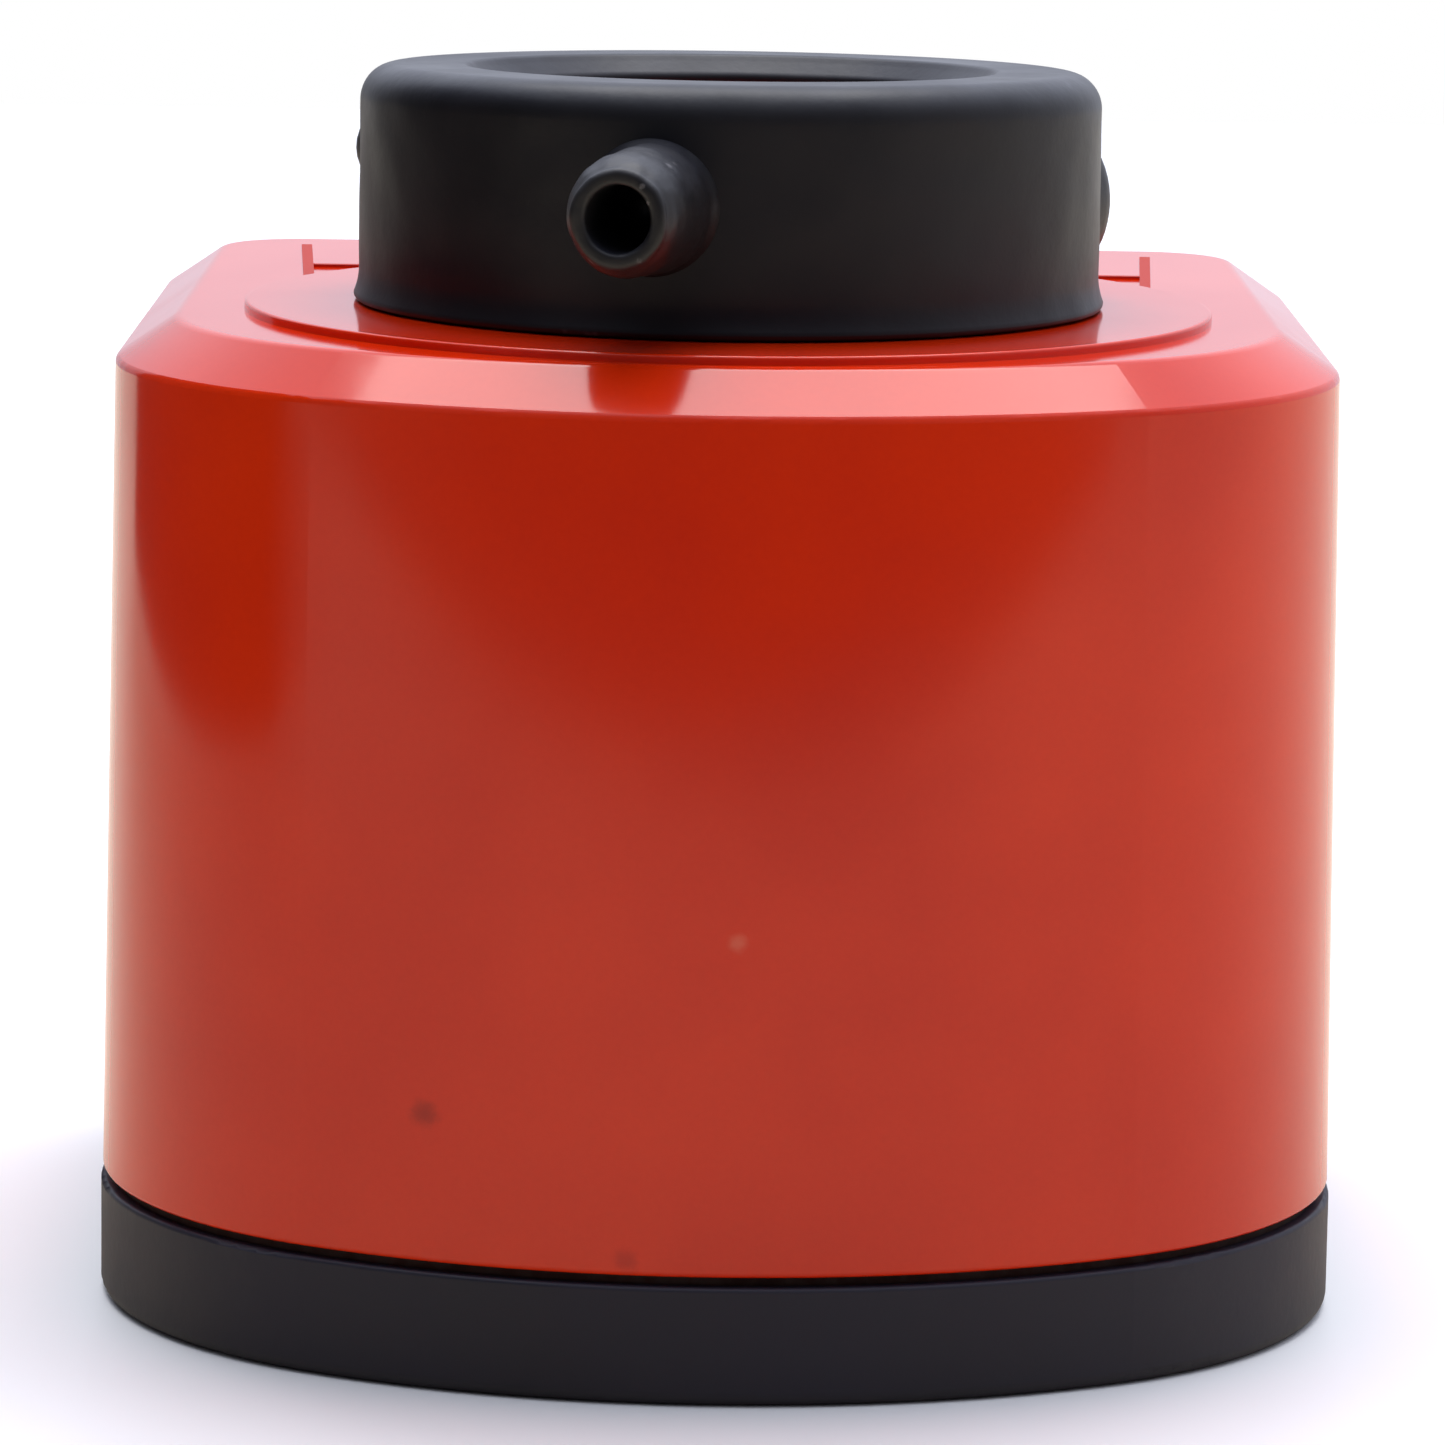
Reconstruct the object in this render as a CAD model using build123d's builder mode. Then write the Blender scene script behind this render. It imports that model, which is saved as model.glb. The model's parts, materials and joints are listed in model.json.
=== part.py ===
from build123d import *
import os
from math import atan2, cos, degrees, pi, radians, sin, sqrt, tan

# Small-engine oil filter: a drafted, bow-fronted housing with a sloping shoulder, closed below by a
# black base cover and carrying a rubber neck collar that turns on a spigot. A pleated element, a
# relief valve and a drain-back check valve are inside. Millimetres, +Z up, origin at the middle of
# the footprint on the base face. The front is -Y.

os.makedirs("parts", exist_ok=True)

# ---- driving dimensions -------------------------------------------------------------------------
# housing footprint and heights
body_width = 66.0
body_depth = 70.9
bow_radius = 42.8
front_corner_radius = 23.2
rear_corner_radius = 8.6
axis_from_front = 30.6
base_height = 6.2
gasket_thickness = 0.5
foot_edge_radius = 0.3
body_height = 45.8
draft_angle = 0.79
shoulder_run = 3.25
shoulder_drop = 2.22
shoulder_edge_radius = 0.45
deck_edge_radius = 0.9
wall = 2.2
deck = 2.4

# raised land and moulded marks on the deck
land_margin = 0.85
land_height = 0.45
mark_width = 0.6
mark_height = 0.16
mark_turn = 3.5
mark_length = 18.5
mark_from_axis = 12.8
mark_crossing = 7.2
mark_margin = 5.4
mark_stem = 6.0

# neck spigot and collar
pipe_radius = 12.95
spigot_wall = 3.15
collar_wall = 3.62
collar_height = 12.5
lip_thickness = 2.1
lip_gap = 0.6
turning_clearance = 0.08
foot_bead = 0.4
foot_bead_height = 1.8
collar_edge_radius = 1.6
lip_lead_in = 0.95

# side nipple on the collar
nipple_angle = 12.1
nipple_height = 6.8
nipple_tip_radius = 2.4
nipple_root_radius = 3.5
boss_wall = 0.35
stem_step = 0.2
nipple_bore = 1.65
nipple_reach = 8.0
nipple_tip_length = 3.6
right_pad_turn = 103.0
right_pad_proud = 1.1
right_pad_half_height = 2.95
right_pad_rise = 5.8
left_pad_turn = 102.1
left_pad_half_height = 1.65
left_pad_rise = 7.8
left_pad_proud = 0.7

# element
flow_gap = 5.0
cap_thickness = 1.0
cap_rim = 3.2
cap_clearance = 2.15
tube_radius = 10.0
tube_wall = 0.6
pleats = 36
paper = 0.5
sleeve_radius = 6.5
sleeve_wall = 1.5
sleeve_length = 6.0

# valves
port_radius = 9.0
port_depth = 4.2
port_step = 1.0
seat_height = 1.0
seat_width = 2.6
check_travel = 1.8
check_thickness = 0.7
seal_thickness = 0.7
stem_radius = 2.0
seat_gap = 0.05
check_spring_room = 1.75
cage_thickness = 1.0
element_spring_rise = 3.3
relief_bore = 4.0
relief_travel = 3.0
relief_wire = 0.45
relief_turns = 5
relief_spare = 0.9
check_wire = 0.22
check_turns = 3

# fasteners and seals
screw_radius = 1.5
screw_head_radius = 2.8
screw_head_height = 1.8
screw_clearance = 0.15
screw_run_out = 3.0
insert_wall = 0.7
insert_length = 6.5
boss_radius = 3.2
boss_inset = 4.2
boss_height = 14.0
mount_insert_radius = 2.5
mount_insert_wall = 0.8
mount_insert_length = 7.0
mount_edge = 11.0
mount_front = 22.95
mount_rear = 18.95
ring_section = 0.65
ring_squeeze = 0.03
ring_below = 1.6
ring_above = 1.3
snap_section = 0.5
snap_rise = 1.9

# gallery that links the nipple with the spigot's four holes
gallery_half = 1.25
gallery_depth = 1.1
gallery_hole_radius = 1.0

# ---- heights and places worked out from them -----------------------------------------------------
shell_z = base_height + gasket_thickness
deck_z = shell_z + body_height
shoulder_z = deck_z - shoulder_drop
land_z = deck_z + land_height
inside_z = deck_z - deck
draft_inset = (shoulder_z - shell_z) * tan(radians(draft_angle))
axis_y = axis_from_front - body_depth / 2
deck_inset = draft_inset + shoulder_run
nearest_wall = min(body_width / 2, axis_from_front, body_depth - axis_from_front)
land_radius = nearest_wall - deck_inset - land_margin
axis = Plane((0, axis_y, 0))
neck_axis = Axis((0, axis_y, 0), (0, 0, 1))
section = Plane((0, axis_y, 0), x_dir=(1, 0, 0), z_dir=(0, -1, 0))

mark_x = body_width / 2 - deck_inset - mark_margin
mark_y = axis_y + mark_from_axis

bow_y = bow_radius - body_depth / 2
corner_x = body_width / 2 - front_corner_radius
corner_y = bow_y - sqrt((bow_radius - front_corner_radius) ** 2 - corner_x**2)
bow_half_angle = degrees(atan2(corner_x, bow_y - corner_y))
rear_x = body_width / 2 - rear_corner_radius
rear_y = body_depth / 2 - rear_corner_radius


def outline(inset):
    """The bow-fronted footprint, drawn this far inside the housing's outer face."""
    front_r = front_corner_radius - inset
    rear_r = rear_corner_radius - inset
    side_x = body_width / 2 - inset
    sweep_angle = 90 - bow_half_angle
    with BuildSketch() as footprint:
        with BuildLine():
            CenterArc((0, bow_y), bow_radius - inset, 270 - bow_half_angle, 2 * bow_half_angle)
            CenterArc((corner_x, corner_y), front_r, 270 + bow_half_angle, sweep_angle)
            Line((side_x, corner_y), (side_x, rear_y))
            CenterArc((rear_x, rear_y), rear_r, 0, 90)
            Line((rear_x, body_depth / 2 - inset), (-rear_x, body_depth / 2 - inset))
            CenterArc((-rear_x, rear_y), rear_r, 90, 90)
            Line((-side_x, rear_y), (-side_x, corner_y))
            CenterArc((-corner_x, corner_y), front_r, 180, sweep_angle)
        make_face()
    return footprint.sketch


def at(height):
    """The plane across the filter's axis at this height."""
    return axis.offset(height)


def edges_at(piece, height):
    """The edges that lie level at this height."""
    return piece.edges().filter_by_position(Axis.Z, height - 0.01, height + 0.01)


def finish(piece, name):
    piece.part.label = name
    export_step(piece.part, f"parts/{name}.step")


diagonal = sin(radians(45))
front_boss = (front_corner_radius - boss_inset) * diagonal
rear_boss = (rear_corner_radius - boss_inset) * diagonal
boss_places = [
    (side * (centre_x + reach), centre_y + towards * reach)
    for side in (-1, 1)
    for centre_x, centre_y, reach, towards in (
        (corner_x, corner_y, front_boss, -1),
        (rear_x, rear_y, rear_boss, 1),
    )
]
mount_x = body_width / 2 - mount_edge
mount_places = [
    (side * mount_x, y)
    for side in (-1, 1)
    for y in (mount_front - body_depth / 2, body_depth / 2 - mount_rear)
]

# ---- neck sizes ----------------------------------------------------------------------------------
spigot_radius = pipe_radius + spigot_wall
collar_bore = spigot_radius + turning_clearance
collar_radius = collar_bore + collar_wall
collar_z = land_z + turning_clearance
collar_top = collar_z + collar_height
spigot_top = collar_top - lip_thickness - lip_gap
nipple_z = land_z + nipple_height
ring_radius = spigot_radius + ring_squeeze - ring_section
lower_ring_z = nipple_z - gallery_half - ring_below
upper_ring_z = nipple_z + gallery_half + ring_above
snap_ring_z = collar_z + snap_rise
snap_groove = snap_section + 0.1
snap_depth = snap_section + 0.15

# ---- housing shell -------------------------------------------------------------------------------
with BuildPart() as housing_shell:
    with BuildSketch(Plane.XY.offset(shell_z)):
        add(outline(0))
    with BuildSketch(Plane.XY.offset(shoulder_z)):
        add(outline(draft_inset))
    with BuildSketch(Plane.XY.offset(deck_z)):
        add(outline(deck_inset))
    loft(ruled=True)
    fillet(edges_at(housing_shell, deck_z), deck_edge_radius)
    fillet(edges_at(housing_shell, shoulder_z), shoulder_edge_radius)
    fillet(edges_at(housing_shell, shell_z), foot_edge_radius)
    # land round the neck
    with BuildSketch(at(deck_z)):
        Circle(land_radius)
    extrude(amount=land_height)
    fillet(housing_shell.edges().group_by(Axis.Z)[-1], land_height * 0.4)
    # hollow inside, rising under the shoulder
    with BuildSketch(Plane.XY.offset(shell_z)):
        add(outline(wall))
    with BuildSketch(Plane.XY.offset(inside_z - shoulder_drop)):
        add(outline(wall + draft_inset))
    with BuildSketch(Plane.XY.offset(inside_z)):
        add(outline(wall + deck_inset))
    loft(ruled=True, mode=Mode.SUBTRACT)
    # screw bosses in the corners
    with BuildSketch(Plane.XY.offset(shell_z)):
        with Locations(*boss_places):
            Circle(boss_radius)
    extrude(amount=boss_height)
    with BuildSketch(Plane.XY.offset(shell_z)):
        with Locations(*boss_places):
            Circle(screw_radius + insert_wall)
    extrude(amount=insert_length, mode=Mode.SUBTRACT)
    with BuildSketch(Plane.XY.offset(shell_z + insert_length)):
        with Locations(*boss_places):
            Circle(screw_radius + screw_clearance)
    extrude(amount=screw_run_out, mode=Mode.SUBTRACT)
    # T-shaped marks beside the neck
    with BuildSketch(Plane.XY.offset(deck_z)):
        for side in (-1, 1):
            with Locations((side * mark_x, mark_y + mark_length / 2)):
                Rectangle(mark_width, mark_length, rotation=-side * mark_turn)
            with Locations((side * (mark_x - mark_stem / 2), mark_y + mark_crossing)):
                Rectangle(mark_stem, mark_width)
    extrude(amount=mark_height)
    # outlet sleeve below the deck and spigot above it
    with BuildSketch(at(inside_z - sleeve_length)):
        Circle(sleeve_radius)
    extrude(amount=sleeve_length)
    with BuildSketch(at(land_z)):
        Circle(spigot_radius)
    extrude(amount=spigot_top - land_z)
    with BuildSketch(at(deck_z)):
        Circle(pipe_radius)
    extrude(amount=spigot_top - deck_z, mode=Mode.SUBTRACT)
    with BuildSketch(at(inside_z - sleeve_length)):
        Circle(sleeve_radius - sleeve_wall)
    extrude(amount=sleeve_length + deck, mode=Mode.SUBTRACT)
    # ring grooves, the snap ring's groove and the gallery holes in the spigot
    for groove_z in (lower_ring_z, upper_ring_z):
        with BuildSketch(at(groove_z - ring_section - 0.05)):
            Circle(spigot_radius + 0.5)
            Circle(ring_radius - ring_section, mode=Mode.SUBTRACT)
        extrude(amount=2 * (ring_section + 0.05), mode=Mode.SUBTRACT)
    with BuildSketch(at(snap_ring_z - snap_groove)):
        Circle(spigot_radius + 0.5)
        Circle(spigot_radius - snap_groove, mode=Mode.SUBTRACT)
    extrude(amount=2 * snap_groove, mode=Mode.SUBTRACT)
    for quarter in range(4):
        direction = (cos(quarter * pi / 2), sin(quarter * pi / 2), 0)
        with BuildSketch(Plane((0, axis_y, nipple_z), z_dir=direction)):
            Circle(gallery_hole_radius)
        extrude(amount=spigot_radius + 0.5, mode=Mode.SUBTRACT)
finish(housing_shell, "housing_shell")

# ---- base cover ----------------------------------------------------------------------------------
cover_proud = 0.1
port_top = base_height + seat_height
port_throat = port_radius - port_step
groove_inner = port_radius + 2.6
groove_width = 2.6
groove_depth = 1.6
lip_inset = wall + 0.15
lip_rise = 2.6
counterbore_depth = 2.4
mount_boss_rise = 2.6
with BuildPart() as base_cover:
    with BuildSketch():
        add(outline(-cover_proud))
    extrude(amount=base_height)
    fillet(base_cover.edges().group_by(Axis.Z)[0], 0.8)
    fillet(base_cover.edges().group_by(Axis.Z)[-1], 0.25)
    # locating lip inside the housing's wall, cut away at the bosses
    with BuildSketch(Plane.XY.offset(base_height)):
        add(outline(lip_inset))
        add(outline(lip_inset + 1.5), mode=Mode.SUBTRACT)
        with Locations(*boss_places):
            Circle(boss_radius + 0.3, mode=Mode.SUBTRACT)
    extrude(amount=gasket_thickness + lip_rise)
    # check-valve seat and mounting bosses
    with BuildSketch(at(base_height)):
        Circle(port_throat + seat_width)
    extrude(amount=seat_height)
    with BuildSketch(Plane.XY.offset(base_height)):
        with Locations(*mount_places):
            Circle(mount_insert_radius + mount_insert_wall + 1.0)
    extrude(amount=mount_boss_rise)
    # inlet port, its face-gasket groove, and the holes from below
    with BuildSketch(at(0)):
        Circle(port_radius)
    extrude(amount=port_depth, mode=Mode.SUBTRACT)
    with BuildSketch(at(port_depth)):
        Circle(port_throat)
    extrude(amount=port_top - port_depth, mode=Mode.SUBTRACT)
    with BuildSketch(at(0)):
        Circle(groove_inner + groove_width)
        Circle(groove_inner, mode=Mode.SUBTRACT)
    extrude(amount=groove_depth, mode=Mode.SUBTRACT)
    with BuildSketch():
        with Locations(*boss_places):
            Circle(screw_head_radius + 0.2)
        with Locations(*mount_places):
            Circle(mount_insert_radius + mount_insert_wall)
    extrude(amount=counterbore_depth, mode=Mode.SUBTRACT)
    with BuildSketch():
        with Locations(*boss_places):
            Circle(screw_radius + screw_clearance)
    extrude(amount=base_height, mode=Mode.SUBTRACT)
    with BuildSketch():
        with Locations(*mount_places):
            Circle(mount_insert_radius + mount_insert_wall)
    extrude(amount=mount_insert_length, mode=Mode.SUBTRACT)
finish(base_cover, "base_cover")

# ---- cover gasket, set back from the outer faces ---------------------------------------------------
gasket_setback = 0.6
with BuildPart() as cover_gasket:
    with BuildSketch(Plane.XY.offset(base_height)):
        add(outline(gasket_setback))
        add(outline(wall), mode=Mode.SUBTRACT)
        with Locations(*boss_places):
            Circle(boss_radius)
            Circle(screw_radius + screw_clearance, mode=Mode.SUBTRACT)
    extrude(amount=gasket_thickness)
finish(cover_gasket, "cover_gasket")

# ---- cover screws and the brass inserts that they go into ------------------------------------------
with BuildPart() as cover_screws:
    with BuildSketch(Plane.XY.offset(counterbore_depth - screw_head_height)):
        with Locations(*boss_places):
            Circle(screw_head_radius)
    extrude(amount=screw_head_height)
    fillet(cover_screws.edges().group_by(Axis.Z)[0], 0.3)
    with BuildSketch(Plane.XY.offset(counterbore_depth - screw_head_height)):
        with Locations(*boss_places):
            RegularPolygon(1.25, 6)
    extrude(amount=1.1, mode=Mode.SUBTRACT)
    with BuildSketch(Plane.XY.offset(counterbore_depth)):
        with Locations(*boss_places):
            Circle(screw_radius)
    extrude(amount=shell_z + insert_length + 1.0 - counterbore_depth)
finish(cover_screws, "cover_screws")

with BuildPart() as screw_inserts:
    with BuildSketch(Plane.XY.offset(shell_z)):
        with Locations(*boss_places):
            Circle(screw_radius + insert_wall)
            Circle(screw_radius, mode=Mode.SUBTRACT)
    extrude(amount=insert_length)
finish(screw_inserts, "screw_inserts")

with BuildPart() as mounting_inserts:
    with BuildSketch():
        with Locations(*mount_places):
            Circle(mount_insert_radius + mount_insert_wall)
            Circle(mount_insert_radius, mode=Mode.SUBTRACT)
    extrude(amount=mount_insert_length)
    mouths = mounting_inserts.edges().filter_by(GeomType.CIRCLE).group_by(Axis.Z)[0]
    chamfer(mouths.group_by(SortBy.RADIUS)[0], 0.3)
finish(mounting_inserts, "mounting_inserts")

# ---- face gasket round the inlet port, and the inlet screen ----------------------------------------
with BuildPart() as port_gasket:
    with BuildSketch(at(0)):
        Circle(groove_inner + groove_width)
        Circle(groove_inner, mode=Mode.SUBTRACT)
    extrude(amount=groove_depth)
    fillet(port_gasket.edges().group_by(Axis.Z)[0], 0.3)
finish(port_gasket, "port_gasket")

screen_thickness = 0.5
with BuildPart() as inlet_screen:
    with BuildSketch(at(port_depth + 0.3)):
        Circle(port_throat)
        with HexLocations(0.85, 7, 7):
            Circle(0.55, mode=Mode.SUBTRACT)
    extrude(amount=screen_thickness)
finish(inlet_screen, "inlet_screen")

# ---- drain-back check valve: rubber seal, plate, spring and cage -----------------------------------
seal_z = port_top + seat_gap
plate_z = seal_z + seal_thickness
plate_top = plate_z + check_thickness
plate_radius = port_throat + seat_width
cage_z = plate_top + check_travel + check_spring_room
cage_top = cage_z + cage_thickness
cage_inner = plate_radius + 0.5
cage_outer = cage_inner + 2.2
with BuildPart() as check_seal:
    with BuildSketch(at(seal_z)):
        Circle(plate_radius - 0.2)
        Circle(port_throat - 2.4, mode=Mode.SUBTRACT)
    extrude(amount=seal_thickness)
finish(check_seal, "check_seal")

with BuildPart() as check_plate:
    with BuildSketch(at(plate_z)):
        Circle(plate_radius - 0.2)
    extrude(amount=check_thickness)
    with BuildSketch(at(plate_top)):
        Circle(stem_radius)
    extrude(amount=cage_top - plate_top + 0.4)
    fillet(check_plate.edges().group_by(Axis.Z)[-1], 0.4)
finish(check_plate, "check_plate")

with BuildPart() as check_cage:
    with BuildSketch(at(cage_z)):
        Circle(cage_outer)
        Circle(stem_radius + turning_clearance, mode=Mode.SUBTRACT)
        with PolarLocations((cage_inner + stem_radius) / 2 + 1.0, 6):
            Circle(2.1, mode=Mode.SUBTRACT)
    extrude(amount=cage_thickness)
    with BuildSketch(at(base_height)):
        Circle(cage_outer)
        Circle(cage_inner, mode=Mode.SUBTRACT)
        with PolarLocations(0, 4, start_angle=45):
            with Locations((cage_outer, 0)):
                Rectangle(2 * cage_outer, 11.0, mode=Mode.SUBTRACT)
    extrude(amount=cage_z - base_height)
finish(check_cage, "check_cage")

check_spring_height = cage_z - plate_top - 2 * check_wire
with BuildPart() as check_spring:
    with BuildLine() as check_coil:
        Helix(
            check_spring_height / check_turns,
            check_spring_height,
            stem_radius + 1.2,
            center=(0, axis_y, plate_top + check_wire),
            cone_angle=30,
        )
    with BuildSketch(Plane(check_coil.line @ 0, z_dir=check_coil.line % 0)):
        Circle(check_wire)
    sweep()
finish(check_spring, "check_spring")

# ---- leaf spring that holds the element up against the neck ----------------------------------------
lower_cap_z = cage_top + element_spring_rise
leaf_thickness = 0.5
leaf_half_span = cage_outer - 0.6
leaf_rise = element_spring_rise - leaf_thickness
leaf_radius = (leaf_half_span**2 + leaf_rise**2) / (2 * leaf_rise)
leaf_top_z = lower_cap_z
with BuildPart() as element_spring:
    for turn in (0, 90):
        along = Vector(cos(radians(turn)), sin(radians(turn)), 0)
        with BuildSketch(Plane((0, axis_y, 0), x_dir=along, z_dir=(along.Y, -along.X, 0))):
            with Locations((0, leaf_top_z - leaf_radius)):
                Circle(leaf_radius)
                Circle(leaf_radius - leaf_thickness, mode=Mode.SUBTRACT)
            with Locations((0, leaf_top_z - leaf_radius)):
                Rectangle(2 * leaf_half_span, 4 * leaf_radius, mode=Mode.INTERSECT)
            with Locations((0, leaf_top_z)):
                Rectangle(4 * leaf_radius, 2 * element_spring_rise, mode=Mode.INTERSECT)
        extrude(amount=3.5, both=True)
    with BuildSketch(at(cage_top - 1)):
        Circle(relief_bore + 0.6)
    extrude(amount=element_spring_rise + 2, mode=Mode.SUBTRACT)
finish(element_spring, "element_spring")

# ---- element: end caps, centre tube, pleated paper and grommet -------------------------------------
element_radius = nearest_wall - wall - flow_gap
lower_floor_z = lower_cap_z + cap_thickness
upper_cap_z = inside_z - cap_clearance - cap_thickness
relief_hole = relief_bore + 3.0
grommet_radius = sleeve_radius + 2.0
with BuildPart() as lower_end_cap:
    with BuildSketch(at(lower_cap_z)):
        Circle(element_radius)
        Circle(relief_hole, mode=Mode.SUBTRACT)
    extrude(amount=cap_thickness)
    with BuildSketch(at(lower_floor_z)):
        Circle(element_radius)
        Circle(element_radius - 0.7, mode=Mode.SUBTRACT)
    extrude(amount=cap_rim)
    fillet(lower_end_cap.edges().group_by(Axis.Z)[0].group_by(SortBy.RADIUS)[-1], 0.5)
finish(lower_end_cap, "lower_end_cap")

with BuildPart() as upper_end_cap:
    with BuildSketch(at(upper_cap_z)):
        Circle(element_radius)
        Circle(grommet_radius, mode=Mode.SUBTRACT)
    extrude(amount=cap_thickness)
    with BuildSketch(at(upper_cap_z - cap_rim)):
        Circle(element_radius)
        Circle(element_radius - 0.7, mode=Mode.SUBTRACT)
    extrude(amount=cap_rim)
    fillet(upper_end_cap.edges().group_by(Axis.Z)[-1].group_by(SortBy.RADIUS)[-1], 0.5)
finish(upper_end_cap, "upper_end_cap")

tube_height = upper_cap_z - lower_floor_z
tube_rows = 6
with BuildPart() as centre_tube:
    with BuildSketch(at(lower_floor_z)):
        Circle(tube_radius)
        Circle(tube_radius - tube_wall, mode=Mode.SUBTRACT)
    extrude(amount=tube_height)
    for row in range(tube_rows):
        row_z = lower_floor_z + tube_height * (row + 0.75) / (tube_rows + 0.5)
        for spoke in range(4):
            turn = radians(45 * spoke + 22.5 * (row % 2))
            with BuildSketch(Plane((0, axis_y, row_z), z_dir=(cos(turn), sin(turn), 0))):
                Circle(1.2)
            extrude(amount=tube_radius + 1, both=True, mode=Mode.SUBTRACT)
finish(centre_tube, "centre_tube")

paper_outer = element_radius - 0.75
paper_inner = tube_radius + 0.1
pleat_tip = 0.75
pleat_root = paper_inner * tan(pi / pleats) * 0.93


def pleated_star(tip_radius, tip_half, root_radius, root_half):
    """A closed star with one blunt tip and one blunt root for each pleat."""
    corners = []
    for pleat in range(pleats):
        for radius, side in (
            (root_radius, -root_half),
            (tip_radius, -tip_half),
            (tip_radius, tip_half),
            (root_radius, root_half),
        ):
            turn = 2 * pi * pleat / pleats + atan2(side, radius)
            reach = sqrt(radius**2 + side**2)
            corners.append((reach * cos(turn), reach * sin(turn)))
    with BuildSketch() as star:
        with BuildLine():
            Polyline(*corners, close=True)
        make_face()
    return star.sketch


with BuildPart() as filter_media:
    with BuildSketch(at(lower_floor_z)):
        add(pleated_star(paper_outer, pleat_tip, paper_inner + paper, pleat_root))
        add(
            pleated_star(paper_outer - paper, pleat_tip - 0.6 * paper, paper_inner, pleat_root - 0.6 * paper),
            mode=Mode.SUBTRACT,
        )
    extrude(amount=tube_height)
finish(filter_media, "filter_media")

with BuildPart() as neck_grommet:
    with BuildSketch(at(upper_cap_z)):
        Circle(grommet_radius)
        Circle(sleeve_radius, mode=Mode.SUBTRACT)
    extrude(amount=inside_z - upper_cap_z)
    with BuildSketch(at(upper_cap_z + cap_thickness)):
        Circle(grommet_radius + 1.8)
        Circle(sleeve_radius, mode=Mode.SUBTRACT)
    extrude(amount=cap_clearance)
finish(neck_grommet, "neck_grommet")

# ---- relief valve in the lower end cap -------------------------------------------------------------
flange_top = lower_floor_z + 1.4
head_z = flange_top + seat_gap
head_top = head_z + 1.2
relief_spring_length = 2 * relief_wire * relief_turns + relief_travel + relief_spare
bridge_z = head_top + relief_spring_length
bridge_outer = tube_radius - tube_wall - 0.6
relief_stem = 1.5
with BuildPart() as relief_seat:
    with BuildSketch(at(lower_cap_z)):
        Circle(relief_hole)
        Circle(relief_bore, mode=Mode.SUBTRACT)
    extrude(amount=cap_thickness)
    with BuildSketch(at(lower_floor_z)):
        Circle(bridge_outer)
        Circle(relief_bore, mode=Mode.SUBTRACT)
    extrude(amount=flange_top - lower_floor_z)
    chamfer(relief_seat.edges().group_by(Axis.Z)[-1].group_by(SortBy.RADIUS)[0], 0.4)
finish(relief_seat, "relief_seat")

with BuildPart() as relief_poppet:
    with BuildSketch(at(head_z)):
        Circle(relief_bore + 1.4)
    extrude(amount=head_top - head_z)
    with BuildSketch(at(head_z)):
        Circle(relief_bore - 0.6)
    extrude(amount=-1.2, taper=20)
    with BuildSketch(at(head_top)):
        Circle(relief_stem)
    extrude(amount=relief_spring_length + 2.4)
    fillet(relief_poppet.edges().group_by(Axis.Z)[-1], 0.3)
finish(relief_poppet, "relief_poppet")

with BuildPart() as relief_bridge:
    with BuildSketch(at(bridge_z)):
        Circle(bridge_outer)
        Rectangle(2 * bridge_outer, 7.0, mode=Mode.INTERSECT)
        Circle(relief_stem + turning_clearance, mode=Mode.SUBTRACT)
    extrude(amount=1.2)
    with BuildSketch(at(flange_top)):
        Circle(bridge_outer)
        Rectangle(2 * bridge_outer, 7.0, mode=Mode.INTERSECT)
        Circle(bridge_outer - 1.1, mode=Mode.SUBTRACT)
    extrude(amount=bridge_z - flange_top)
finish(relief_bridge, "relief_bridge")

relief_coil_height = relief_spring_length - 2 * relief_wire
with BuildPart() as relief_spring:
    with BuildLine() as relief_coil:
        Helix(
            relief_coil_height / relief_turns,
            relief_coil_height,
            relief_bore,
            center=(0, axis_y, head_top + relief_wire),
        )
    with BuildSketch(Plane(relief_coil.line @ 0, z_dir=relief_coil.line % 0)):
        Circle(relief_wire)
    sweep()
finish(relief_spring, "relief_spring")

# ---- seals and snap ring between the spigot and the collar -----------------------------------------
for name, ring_z in (("spigot_ring_lower", lower_ring_z), ("spigot_ring_upper", upper_ring_z)):
    with BuildPart() as spigot_ring:
        with BuildSketch(section):
            with Locations((ring_radius, ring_z)):
                Circle(ring_section)
        revolve(axis=neck_axis)
    finish(spigot_ring, name)

with BuildPart() as snap_ring:
    with BuildSketch(section):
        with Locations((spigot_radius, snap_ring_z)):
            Circle(snap_section)
    revolve(axis=neck_axis, revolution_arc=340)
finish(snap_ring, "snap_ring")

# ---- side nipple: a stiff tube through a moulded boss on the collar ---------------------------------
gallery_radius = collar_bore + gallery_depth
nipple_end = collar_radius + nipple_reach
boss_end = nipple_end - nipple_tip_length
stem_outer = nipple_tip_radius + stem_step
outward = Vector(-sin(radians(nipple_angle)), -cos(radians(nipple_angle)), 0)
across = Vector(outward.Y, -outward.X, 0)
nipple_axis = Axis((0, axis_y, nipple_z), outward)
nipple_section = Plane((0, axis_y, nipple_z), x_dir=outward, z_dir=across)
with BuildPart() as side_nipple:
    with BuildSketch(nipple_section):
        with BuildLine():
            Polyline(
                (gallery_radius, nipple_bore),
                (gallery_radius, stem_outer),
                (boss_end, stem_outer),
                (boss_end, nipple_tip_radius),
                (nipple_end, nipple_tip_radius),
                (nipple_end, nipple_bore),
                close=True,
            )
        make_face()
    revolve(axis=nipple_axis)
    fillet(side_nipple.edges().sort_by(nipple_axis).filter_by(GeomType.CIRCLE)[-2:], 0.25)
finish(side_nipple, "side_nipple")

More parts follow.
